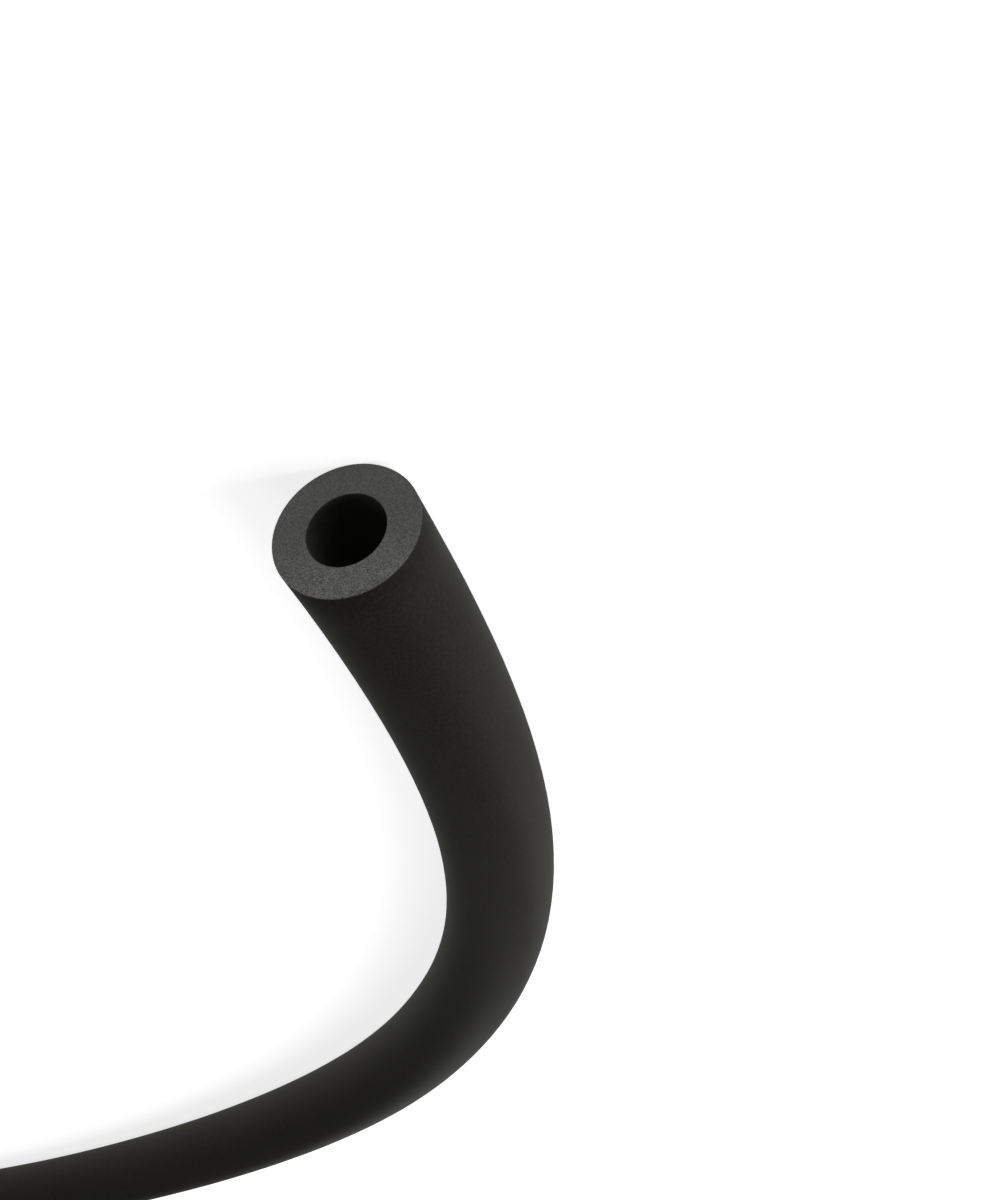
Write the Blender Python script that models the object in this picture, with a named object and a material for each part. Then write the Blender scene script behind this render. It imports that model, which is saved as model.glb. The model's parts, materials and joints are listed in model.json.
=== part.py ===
import bmesh
import bpy
from math import cos, radians, sin
from mathutils import Matrix, Vector

# Sizes in metres: a foam tube for a 28 mm (1 1/8 in) pipe, half an inch thick, 2 m long
bore_dia = 0.030
wall = 0.0127
length = 2.0

# Smooth bends along the tube as it lies: where each starts, how long it is, its turn in degrees.
# The first is already under way at the near cut. The last takes up what is left of the full turn.
full_turn = 90.0
bends = [(-0.117, 1.028, 43.1), (0.590, 0.755, 18.6)]
last_bend_start = 1.163

# How finely the surface is divided
sides = 36
stations = 64
steps_between = 12
smooth_below = radians(50)

outer_r = bore_dia / 2 + wall
bore_r = bore_dia / 2


def eased(t):
    """0 before a bend, 1 after it, with no sudden change of curvature."""
    t = min(max(t, 0.0), 1.0)
    return t * t * (3 - 2 * t)


def turned_by(bend, s):
    """Degrees that one bend has turned the tube by at s metres from the near cut."""
    start, long, turn = bend
    return turn * (eased((s - start) / long) - eased(-start / long))


def all_bends():
    left = full_turn - sum(turned_by(b, length) for b in bends)
    return bends + [(last_bend_start, length - last_bend_start, left)]


def heading(s, parts):
    """Direction of the tube's axis in the floor plane, in radians."""
    return -radians(sum(turned_by(b, s) for b in parts))


def placed(x, y, angle):
    """Where a section of the tube stands: its centre on the axis, its flat side square to it."""
    return Matrix.Translation((x, y, outer_r)) @ Matrix.Rotation(angle, 4, "Z")


def centreline():
    """The place of the section at each station, from the near cut to the far one."""
    parts = all_bends()
    step = length / (stations * steps_between)
    x, y = 0.0, 0.0
    found = [placed(x, y, heading(0.0, parts))]
    for n in range(stations * steps_between):
        mid = heading((n + 0.5) * step, parts)
        x += step * cos(mid)
        y += step * sin(mid)
        if (n + 1) % steps_between == 0:
            found.append(placed(x, y, heading((n + 1) * step, parts)))
    return found


def near_cut(bm, place):
    """The flat ring of foam at the near cut, between two circles. Each has a point straight below its centre."""
    upright = place @ Matrix.Rotation(radians(90), 4, "Y")
    for radius in (outer_r, bore_r):
        bmesh.ops.create_circle(bm, segments=sides, radius=radius, matrix=upright)
    return bmesh.ops.bridge_loops(bm, edges=bm.edges[:])["faces"]


def insulation_tube():
    """The whole tube: the near cut's ring, extruded along the axis to the far cut, as one closed body."""
    bm = bmesh.new()
    line = centreline()
    first = near_cut(bm, line[0])
    ring = first
    for here, there in zip(line, line[1:]):
        pushed = bmesh.ops.extrude_face_region(bm, geom=ring)["geom"]
        if ring is not first:
            bmesh.ops.delete(bm, geom=ring, context="FACES_ONLY")
        ring = [g for g in pushed if isinstance(g, bmesh.types.BMFace)]
        points = [g for g in pushed if isinstance(g, bmesh.types.BMVert)]
        bmesh.ops.transform(bm, matrix=there @ here.inverted(), verts=points)
    bmesh.ops.recalc_face_normals(bm, faces=bm.faces[:])

    low = [min(v.co[k] for v in bm.verts) for k in range(3)]
    high = [max(v.co[k] for v in bm.verts) for k in range(3)]
    middle = Vector(((low[0] + high[0]) / 2, (low[1] + high[1]) / 2, low[2]))
    bmesh.ops.translate(bm, verts=bm.verts[:], vec=-middle)

    mesh = bpy.data.meshes.new("insulation_tube")
    bm.to_mesh(mesh)
    bm.free()
    mesh.shade_smooth()
    mesh.set_sharp_from_angle(angle=smooth_below)
    return mesh


def foam():
    """Closed-cell rubber foam, nearly black and matt."""
    mat = bpy.data.materials.new("rubber_foam")
    mat.use_nodes = True
    shader = mat.node_tree.nodes["Principled BSDF"]
    shader.inputs["Base Color"].default_value = (0.026, 0.025, 0.023, 1.0)
    shader.inputs["Roughness"].default_value = 0.85
    shader.inputs["Metallic"].default_value = 0.0
    return mat


for thing in list(bpy.data.objects):
    bpy.data.objects.remove(thing, do_unlink=True)

body = insulation_tube()
body.materials.append(foam())
tube = bpy.data.objects.new("insulation_tube", body)
bpy.context.scene.collection.objects.link(tube)
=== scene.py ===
import json
from math import cos, hypot, pi, radians, sin

import bpy
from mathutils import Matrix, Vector


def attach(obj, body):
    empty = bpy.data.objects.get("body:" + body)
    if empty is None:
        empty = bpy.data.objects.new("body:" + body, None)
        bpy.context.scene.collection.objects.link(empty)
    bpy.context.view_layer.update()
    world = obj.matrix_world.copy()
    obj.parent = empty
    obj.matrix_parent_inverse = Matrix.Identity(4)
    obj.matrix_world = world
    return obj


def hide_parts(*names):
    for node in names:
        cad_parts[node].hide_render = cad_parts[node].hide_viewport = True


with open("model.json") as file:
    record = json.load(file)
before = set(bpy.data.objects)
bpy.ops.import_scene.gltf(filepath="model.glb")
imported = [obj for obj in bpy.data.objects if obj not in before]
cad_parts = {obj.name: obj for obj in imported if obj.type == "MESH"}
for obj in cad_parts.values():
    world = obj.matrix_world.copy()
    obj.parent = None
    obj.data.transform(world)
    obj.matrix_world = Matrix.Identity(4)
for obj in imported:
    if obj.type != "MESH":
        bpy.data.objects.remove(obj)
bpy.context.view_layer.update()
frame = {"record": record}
print("frame loaded")

# metres and degrees everywhere
tube = {
    "boreDia": 0.030,
    "wall": 0.0127,
    "length": 2.0,
    "fullTurn": 90.0,
    "bends": [(-0.117, 1.028, 43.1), (0.590, 0.755, 18.6)],  # start, length, turn
    "lastBendStart": 1.163,
    "linePoints": 768,
    "cutBack": 0.00004,  # keeps the two cuts inside the solid's length
    "sides": 96,
    "rounding": 0.0003,  # of the cut edges
    "roundingSteps": 3,
    "lengthCuts": 180,
    "faceCuts": 9,
    "faceFiner": 4,
    "hair": 0.00001,  # points closer than this count as one
    "smoothUpTo": 50,
    "tornAndLitTowards": (0.10, 0.995),  # the side where the blade left the foam and where the cut's colour is painted lighter as painted light, in a cut's own y and z
    "tornAndLitFrom": -0.2,  # how far out on that side the tearing and the painted light start, as a share of the radius
    "tornAndLitOver": 1.1,  # and over what share of the radius it grows to full
    "cellSize": 0.0009,
    "cellDepth": 0.00018,
    "cleanDepth": 0.35,  # share of the cells' depth where the cut is clean
    "skinWave": 0.05,
    "skinDepth": 0.00018,
    "skinEnds": 0.004,  # the skin stays even this close to a cut
}


def eased(t):
    t = min(max(t, 0.0), 1.0)
    return t * t * (3 - 2 * t)


def turnedBy(bend, s):
    start, long, turn = bend
    return turn * (eased((s - start) / long) - eased(-start / long))


def makeCentreLine(t, start):
    bends = list(t["bends"])
    left = t["fullTurn"] - sum(turnedBy(b, t["length"]) for b in bends)
    bends.append((t["lastBendStart"], t["length"] - t["lastBendStart"], left))
    count = t["linePoints"]
    step = t["length"] / count
    points = [Vector(start)]
    for n in range(count):
        angle = -radians(sum(turnedBy(b, (n + 0.5) * step) for b in bends))
        points.append(points[-1] + step * Vector((cos(angle), sin(angle), 0)))
    curve = bpy.data.curves.new("centreLine", "CURVE")
    curve.dimensions = "3D"
    curve.twist_mode = "Z_UP"
    spline = curve.splines.new("POLY")
    spline.points.add(count)
    for p, at in zip(spline.points, points):
        p.co = (*at, 1.0)
    line = bpy.data.objects.new("centreLine", curve)
    bpy.context.scene.collection.objects.link(line)
    return line


def deselectAll():
    for o in bpy.context.selected_objects:
        o.select_set(False)


def selectWhere(obj, kind, test):
    bpy.ops.object.mode_set(mode="OBJECT")
    mesh = obj.data
    for group in (mesh.vertices, mesh.edges, mesh.polygons):
        group.foreach_set("select", [False] * len(group))
    for item in getattr(mesh, kind):
        item.select = test(item)
    bpy.ops.object.mode_set(mode="EDIT")
    bpy.ops.mesh.select_mode(type={"edges": "EDGE", "polygons": "FACE"}[kind])


# how far a place along the straight tube is from the nearer cut
def fromCut(t, x):
    return min(x - t["cutBack"], t["length"] - t["cutBack"] - x)


# whether a point is on the bore's side of the wall's middle
def nearBore(t, p):
    return hypot(p.y, p.z) < t["boreDia"] / 2 + t["wall"] / 2


# how torn the foam is at a point of a cut, from 0 to 1; the same share sets how much the cut's colour is
# painted lighter there, as painted light
def tornAndLitAt(t, p):
    side = (p.y * t["tornAndLitTowards"][0] + p.z * t["tornAndLitTowards"][1]) / (t["boreDia"] / 2 + t["wall"])
    return eased((side - t["tornAndLitFrom"]) / t["tornAndLitOver"])


# the wall's long section, beside the axis
def makeSection(t):
    deselectAll()
    bpy.ops.mesh.primitive_plane_add(size=1, location=(t["length"] / 2, 0, t["boreDia"] / 2 + t["wall"] / 2),
                                     rotation=(pi / 2, 0, 0))
    obj = bpy.context.object
    obj.name = obj.data.name = "foamTube"
    obj.scale = (t["length"] - 2 * t["cutBack"], t["wall"], 1)
    bpy.ops.object.transform_apply(location=True, rotation=True, scale=True)
    bpy.ops.object.mode_set(mode="EDIT")
    bpy.ops.mesh.select_all(action="SELECT")
    bpy.ops.mesh.bevel(affect="VERTICES", offset=t["rounding"], segments=t["roundingSteps"])
    bpy.ops.mesh.select_all(action="SELECT")
    bpy.ops.mesh.delete(type="ONLY_FACE")

    def middleX(e):
        return sum(obj.data.vertices[n].co.x for n in e.vertices) / 2
    selectWhere(obj, "edges", lambda e: fromCut(t, middleX(e)) > t["rounding"])
    bpy.ops.mesh.subdivide(number_cuts=t["lengthCuts"])
    selectWhere(obj, "edges", lambda e: fromCut(t, middleX(e)) < t["hair"])
    bpy.ops.mesh.subdivide(number_cuts=t["faceCuts"])
    return obj


# turned round the axis into the whole tube
def spinSection(obj, t):
    bpy.ops.mesh.select_all(action="SELECT")
    bpy.ops.mesh.spin(steps=t["sides"], angle=2 * pi, center=(0, 0, 0), axis=(1, 0, 0))
    bpy.ops.mesh.select_all(action="SELECT")
    bpy.ops.mesh.remove_doubles(threshold=t["hair"])
    bpy.ops.mesh.normals_make_consistent(inside=False)
    # the cut faces get a finer grid, for the cells
    selectWhere(obj, "polygons", lambda p: fromCut(t, p.center.x) < t["hair"])
    bpy.ops.mesh.subdivide(number_cuts=t["faceFiner"])
    bpy.ops.object.mode_set(mode="OBJECT")


# the rounding shows cut foam too
def sortFaces(mesh, t):
    names = ["skinFoam", "cutFoam", "boreFoam"]
    for name in names:
        mesh.materials.append(bpy.data.materials.new(name))
    for p in mesh.polygons:
        if fromCut(t, p.center.x) < t["rounding"]:
            p.material_index = names.index("cutFoam")
        elif nearBore(t, p.center):
            p.material_index = names.index("boreFoam")


# open cells in the cut faces, and the slight waviness of an extruded skin, both inwards only
def addRelief(obj, t):
    mesh = obj.data
    tornAndLitValues = [tornAndLitAt(t, v.co) for v in mesh.vertices]
    mesh.attributes.new("torn", "FLOAT", "POINT").data.foreach_set("value", tornAndLitValues)
    cutGroup = obj.vertex_groups.new(name="cut")
    skinGroup = obj.vertex_groups.new(name="skin")
    for v, torn in zip(mesh.vertices, tornAndLitValues):
        if fromCut(t, v.co.x) < t["hair"]:
            cutGroup.add([v.index], t["cleanDepth"] + (1 - t["cleanDepth"]) * torn, "REPLACE")
        elif fromCut(t, v.co.x) > t["skinEnds"] and not nearBore(t, v.co):
            skinGroup.add([v.index], 1.0, "REPLACE")
    for group, kind, size, depth in (("cut", "VORONOI", t["cellSize"], t["cellDepth"]),
                                     ("skin", "CLOUDS", t["skinWave"], t["skinDepth"])):
        texture = bpy.data.textures.new(group, kind)
        texture.noise_scale = size
        m = obj.modifiers.new(group, "DISPLACE")
        m.texture = texture
        m.vertex_group = group
        m.direction = "NORMAL"
        m.mid_level = 1.0
        m.strength = depth
        bpy.ops.object.modifier_apply(modifier=group)
        bpy.data.textures.remove(texture)
    obj.vertex_groups.clear()


def bendAlong(obj, line):
    m = obj.modifiers.new("bend", "CURVE")
    m.object = line
    m.deform_axis = "POS_X"
    bpy.ops.object.modifier_apply(modifier="bend")
    bpy.data.objects.remove(line)


def makeTube(t, start):
    line = makeCentreLine(t, start)
    obj = makeSection(t)
    spinSection(obj, t)
    sortFaces(obj.data, t)
    addRelief(obj, t)
    bendAlong(obj, line)
    bpy.ops.object.shade_smooth_by_angle(angle=radians(t["smoothUpTo"]))
    return obj


nearCut = next(m for m in frame["record"]["mounts"] if m["name"] == "near_cut")
outerRadius = tube["boreDia"] / 2 + tube["wall"]
foamTube = makeTube(tube, (nearCut["pos_m"][0], nearCut["pos_m"][1], outerRadius))
print("tube made:", len(foamTube.data.polygons), "faces")


# the foam's specks: fine grain, opened cells and wide clouds
specks = {
    "sizes": {"Grain Size": 0.0015, "Cell Size": 0.00042, "Cloud Size": 0.05},
    "noiseSpread": (0.3, 0.7),  # nearly all of a noise lies between these
    "grainNoise": {"Detail": 3.0, "Roughness": 0.6},
    "cloudNoise": {"Detail": 4.0, "Roughness": 0.55},
    "grainHeight": 0.6,  # shares of the bump's height
    "cellHeight": 0.4,
    "roughSwing": 0.05,
}


class NodePen:
    def __init__(self, tree):
        self.tree = tree

    def node(self, kind, inputs=None, **values):
        n = self.tree.nodes.new(kind)
        for key, value in values.items():
            setattr(n, key, value)
        for key, value in (inputs or {}).items():
            self.put(value, n.inputs[key])
        return n

    def put(self, value, socket):
        if isinstance(value, bpy.types.NodeSocket):
            self.tree.links.new(value, socket)
        else:
            socket.default_value = value

    def math(self, operation, a, b):
        return self.node("ShaderNodeMath", {0: a, 1: b}, operation=operation).outputs[0]

    def ramp(self, value, low, high, outLow=0.0, outHigh=1.0):
        n = self.node("ShaderNodeMapRange", {"Value": value, "From Min": low, "From Max": high,
                                             "To Min": outLow, "To Max": outHigh})
        return n.outputs["Result"]


def groupWith(name, inputs, outputs):
    tree = bpy.data.node_groups.new(name, "ShaderNodeTree")
    for label in inputs:
        kind = "NodeSocketVector" if label == "Vector" else "NodeSocketFloat"
        tree.interface.new_socket(label, in_out="INPUT", socket_type=kind)
    for label in outputs:
        tree.interface.new_socket(label, in_out="OUTPUT", socket_type="NodeSocketFloat")
    return tree, tree.nodes.new("NodeGroupInput"), tree.nodes.new("NodeGroupOutput")


def makeFoamGrain(s):
    tree, given, made = groupWith("foamGrain",
                                  ["Vector", *s["sizes"], "Grain Amount", "Cell Amount", "Cloud Amount"],
                                  ["Shade", "Grain", "Height"])
    pen = NodePen(tree)
    place = given.outputs["Vector"]
    scales = {size: pen.math("DIVIDE", 1.0, given.outputs[size]) for size in s["sizes"]}
    grain = pen.node("ShaderNodeTexNoise", {"Vector": place, "Scale": scales["Grain Size"],
                                            **s["grainNoise"]}).outputs["Fac"]
    cloud = pen.node("ShaderNodeTexNoise", {"Vector": place, "Scale": scales["Cloud Size"],
                                            **s["cloudNoise"]}).outputs["Fac"]
    cells = pen.node("ShaderNodeTexVoronoi", {"Vector": place, "Scale": scales["Cell Size"]})
    cellShade = pen.node("ShaderNodeSeparateColor", {"Color": cells.outputs["Color"]}).outputs["Red"]

    # each is spread about nought and weighed, and 1 is added: it multiplies a colour
    total = 1.0
    for mask, spread, amount in ((grain, s["noiseSpread"], "Grain Amount"),
                                 (cellShade, (0.0, 1.0), "Cell Amount"),
                                 (cloud, s["noiseSpread"], "Cloud Amount")):
        swing = pen.math("MULTIPLY", pen.ramp(mask, *spread, -1.0, 1.0), given.outputs[amount])
        total = pen.math("ADD", swing, total)
    height = pen.math("ADD", pen.math("MULTIPLY", grain, s["grainHeight"]),
                      pen.math("MULTIPLY", cellShade, s["cellHeight"]))
    pen.put(total, made.inputs["Shade"])
    pen.put(pen.ramp(grain, *s["noiseSpread"]), made.inputs["Grain"])
    pen.put(height, made.inputs["Height"])
    return tree


foamGrain = makeFoamGrain(specks)

# for each finish its colour, its bump's depth, how strong the specks are (and their size where it differs)
# and the shader's own values
finishes = {
    "skinFoam": {
        "colour": (0.0175, 0.0163, 0.0137),
        "rough": 0.68,
        "bumpDepth": 0.000015,
        "grain": {"Grain Amount": 0.30, "Cell Amount": 0.12, "Cloud Amount": 0.08},
        "shader": {"Specular IOR Level": 0.02, "Sheen Weight": 0.045, "Sheen Roughness": 0.5,
                   "Sheen Tint": (1.0, 1.0, 0.88, 1.0)},
    },
    "cutFoam": {
        "colour": (0.0875, 0.0875, 0.0852),
        # painted light: the cut's colour is made lighter towards the torn side, as if that side caught more
        # light
        "paintedLightColour": (0.1175, 0.1167, 0.111),
        "cleanCells": 0.55,  # share of the cells' amount where the cut is clean
        "rough": 0.9,
        "bumpDepth": 0.00006,
        "grain": {"Grain Size": 0.0011, "Cloud Size": 0.012,
                  "Grain Amount": 0.12, "Cell Amount": 0.50, "Cloud Amount": 0.05},
        "shader": {"Specular IOR Level": 0.2},
    },
    "boreFoam": {
        "colour": (0.0385, 0.0378, 0.0326),
        "rough": 0.8,
        "bumpDepth": 0.00003,
        "grain": {"Grain Amount": 0.15, "Cell Amount": 0.10, "Cloud Amount": 0.05},
        "shader": {"Specular IOR Level": 0.1},
    },
}


# blends the cut's colour into a lighter one towards the torn side: painted light
def mixPaintedLight(pen, torn, f):
    factor, first, second, result = 0, 6, 7, 2  # where a Mix node keeps its colour sockets
    mix = pen.node("ShaderNodeMix", data_type="RGBA")
    pen.put(torn, mix.inputs[factor])
    mix.inputs[first].default_value = (*f["colour"], 1.0)
    mix.inputs[second].default_value = (*f["paintedLightColour"], 1.0)
    return mix.outputs[result]


def finishFoam(name, f):
    mat = bpy.data.materials[name]
    mat.use_nodes = True
    tree = mat.node_tree
    shader = tree.nodes["Principled BSDF"]
    pen = NodePen(tree)
    grain = pen.node("ShaderNodeGroup", node_tree=foamGrain)
    pen.put(pen.node("ShaderNodeTexCoord").outputs["Object"], grain.inputs["Vector"])
    for key, value in {**specks["sizes"], **f["grain"]}.items():
        grain.inputs[key].default_value = value
    shaded = pen.node("ShaderNodeVectorMath", {"Scale": grain.outputs["Shade"]}, operation="SCALE")
    if "paintedLightColour" in f:
        # the cut's colour is painted lighter towards the torn side, a painted light gradient; its cells grow
        # stronger there too
        torn = pen.node("ShaderNodeAttribute", attribute_name="torn").outputs["Fac"]
        pen.put(mixPaintedLight(pen, torn, f), shaded.inputs[0])
        cells = f["grain"]["Cell Amount"]
        pen.put(pen.ramp(torn, 0.0, 1.0, cells * f["cleanCells"], cells), grain.inputs["Cell Amount"])
    else:
        shaded.inputs[0].default_value = f["colour"]
    pen.put(shaded.outputs[0], shader.inputs["Base Color"])
    lowRough, highRough = f["rough"] - specks["roughSwing"], f["rough"] + specks["roughSwing"]
    pen.put(pen.ramp(grain.outputs["Grain"], 0.0, 1.0, lowRough, highRough), shader.inputs["Roughness"])
    bump = pen.node("ShaderNodeBump", {"Height": grain.outputs["Height"], "Distance": f["bumpDepth"],
                                       "Strength": 1.0})
    pen.put(bump.outputs["Normal"], shader.inputs["Normal"])
    for key, value in f["shader"].items():
        shader.inputs[key].default_value = value


for name, finish in finishes.items():
    finishFoam(name, finish)

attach(foamTube, "root")
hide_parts("insulation_tube")
print("materials made")


studio = {
    "floorSize": 16.0,
    "floorColour": (0.93, 0.93, 0.925),
    "floorRough": 0.9,
    "floorShine": 0.1,
    "floorGlow": 0.75,
    "world": 0.02,
    "backdrop": 0.78,  # what the camera sees beyond the floor, as pale as the floor's far end
    "aim": (-0.1, 0.55, 0.03),
    # name, place, size, power in watts
    "lights": [
        ("highPanel", (-0.10, 2.85, 1.96), (1.8, 1.8), 30),
        ("topPanel", (-0.10, 1.58, 2.85), (1.8, 1.8), 9.2),
        ("frontPanel", (-3.03, 0.55, 0.70), (1.8, 1.2), 8),
        ("lowPanel", (1.62, 1.54, 0.36), (0.9, 0.6), 15.9),
        ("endPanel", (1.81, 0.04, 0.31), (0.7, 0.7), 5.2),
        ("sidePanel", (-0.90, -1.60, 1.80), (2.0, 1.4), 8),
    ],
}

photoCamera = {
    "place": (-1.05456, 0.86188, 0.34261),
    "turn": (-59.6202, 2.4349, 73.7042),  # upside down, as the photo shows the tube
    "lens": 50.836,
    "clip": (0.01, 60),
}


def makeFloor(s):
    deselectAll()
    bpy.ops.mesh.primitive_plane_add(size=s["floorSize"], location=(0, 0, 0))
    floor = bpy.context.object
    floor.name = "floor"
    mat = bpy.data.materials.new("paleFloor")
    mat.use_nodes = True
    shader = mat.node_tree.nodes["Principled BSDF"]
    shader.inputs["Base Color"].default_value = (*s["floorColour"], 1)
    shader.inputs["Roughness"].default_value = s["floorRough"]
    shader.inputs["Specular IOR Level"].default_value = s["floorShine"]
    shader.inputs["Emission Color"].default_value = (1, 1, 1, 1)
    shader.inputs["Emission Strength"].default_value = s["floorGlow"]
    floor.data.materials.append(mat)


def makeLights(s):
    world = bpy.data.worlds.new("studio")
    world.use_nodes = True
    background = world.node_tree.nodes["Background"]
    background.inputs["Color"].default_value = (1, 1, 1, 1)
    pen = NodePen(world.node_tree)
    seen = pen.node("ShaderNodeLightPath").outputs["Is Camera Ray"]
    pen.put(pen.ramp(seen, 0.0, 1.0, s["world"], s["backdrop"]), background.inputs["Strength"])
    bpy.context.scene.world = world
    for name, place, size, power in s["lights"]:
        light = bpy.data.lights.new(name, "AREA")
        light.shape = "RECTANGLE"
        light.size, light.size_y = size
        light.energy = power
        lamp = bpy.data.objects.new(name, light)
        bpy.context.scene.collection.objects.link(lamp)
        lamp.location = place
        lamp.visible_camera = False
        lamp.rotation_euler = (Vector(s["aim"]) - Vector(place)).to_track_quat("-Z", "Y").to_euler()


def makeCamera(c):
    data = bpy.data.cameras.new("photoCamera")
    data.lens = c["lens"]
    data.clip_start, data.clip_end = c["clip"]
    cam = bpy.data.objects.new("photoCamera", data)
    bpy.context.scene.collection.objects.link(cam)
    cam.location = c["place"]
    cam.rotation_euler = [radians(a) for a in c["turn"]]
    bpy.context.scene.camera = cam


makeFloor(studio)
makeLights(studio)
makeCamera(photoCamera)
bpy.context.scene.view_settings.view_transform = "Standard"
print("studio made")
